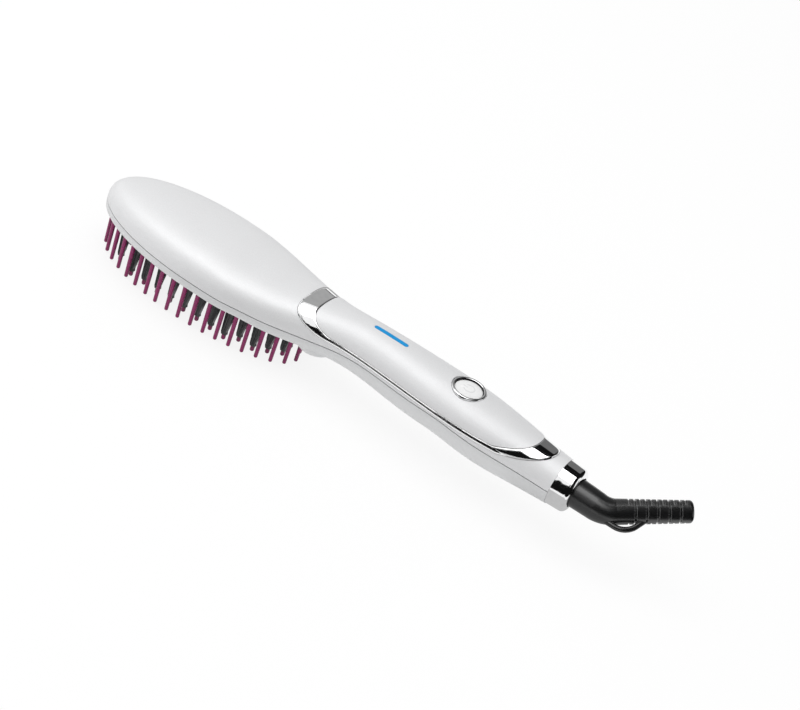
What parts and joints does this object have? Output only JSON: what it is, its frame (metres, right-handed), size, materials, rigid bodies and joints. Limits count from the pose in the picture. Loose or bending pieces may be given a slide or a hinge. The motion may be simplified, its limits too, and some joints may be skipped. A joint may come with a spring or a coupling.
{
  "type": "heated straightening brush",
  "caption": "Electric hair-straightening paddle brush: oval head with guard pins round a heated toothed plate, tapered handle with trim loop, power button, light bar and cord swivel.",
  "frame": {"origin": "middle of the head's widest station, on the plane through the tips of the guard pins", "axes": "+X from the head along the handle towards the cord, +Z out of the brush's back; the pins point to -Z"},
  "size_m": [0.3253, 0.0568, 0.0446],
  "materials": {
    "silver_plastic": "satin metallic lacquer",
    "grey_plastic": "satin",
    "chrome_trim": "mirror",
    "white_plastic": "gloss",
    "blue_light": "translucent, lit",
    "plum_plastic": "gloss",
    "dark_coating": "satin ceramic coating on metal",
    "dark_plastic": "satin",
    "black_rubber": "matte",
    "heater_ceramic": "matte",
    "mica_sheet": "semi-matte",
    "clamp_metal": "mill finish",
    "steel": "zinc plated",
    "board_laminate": "solder mask",
    "black_plastic": "satin",
    "yellow_plastic": "satin",
    "lamp_resin": "clear resin",
    "wire_sleeve": "silicone",
    "contact_brass": "bright"
  },
  "bodies": {
    "housing": {"back_shell": "silver_plastic", "front_shell": "grey_plastic", "trim_loop": "chrome_trim", "handle_panel": "silver_plastic", "light_bar": "blue_light", "button_bezel": "chrome_trim", "end_collar": "chrome_trim", "pin_frame": "plum_plastic", "guard_pins": "plum_plastic", "heater_plate": "dark_coating", "heated_teeth": "dark_coating", "tooth_tips": "plum_plastic", "heating_elements": "heater_ceramic", "insulator_sheet": "mica_sheet", "heater_clamp": "clamp_metal", "clamp_screws": "steel", "thermal_fuse": "steel", "temperature_sensor": "heater_ceramic", "heater_leads": "wire_sleeve", "control_board": "board_laminate", "tactile_switch": "black_plastic", "status_lamps": "lamp_resin", "filter_capacitor": "yellow_plastic", "triac": "black_plastic", "board_screws": "steel", "shell_screws": "steel", "mains_leads": "wire_sleeve", "contact_block": "black_plastic", "contact_springs": "contact_brass"},
    "button": {"power_button": "white_plastic", "switch_plunger": "black_plastic"},
    "swivel": {"strain_relief": "black_rubber", "swivel_core": "dark_plastic", "slip_rings": "contact_brass"}
  },
  "joints": [
    {"name": "button_press", "type": "slide", "parent": "housing", "child": "button", "axis": [0, 0, -1], "range_m": [0, 0.0008], "stiffness_N_per_m": 1500, "springref_m": -0.0004},
    {"name": "cord_swivel", "type": "hinge", "parent": "housing", "child": "swivel", "pos_m": [0.2058, 0, 0.0285], "axis": [1, 0, 0], "continuous": true}
  ]
}
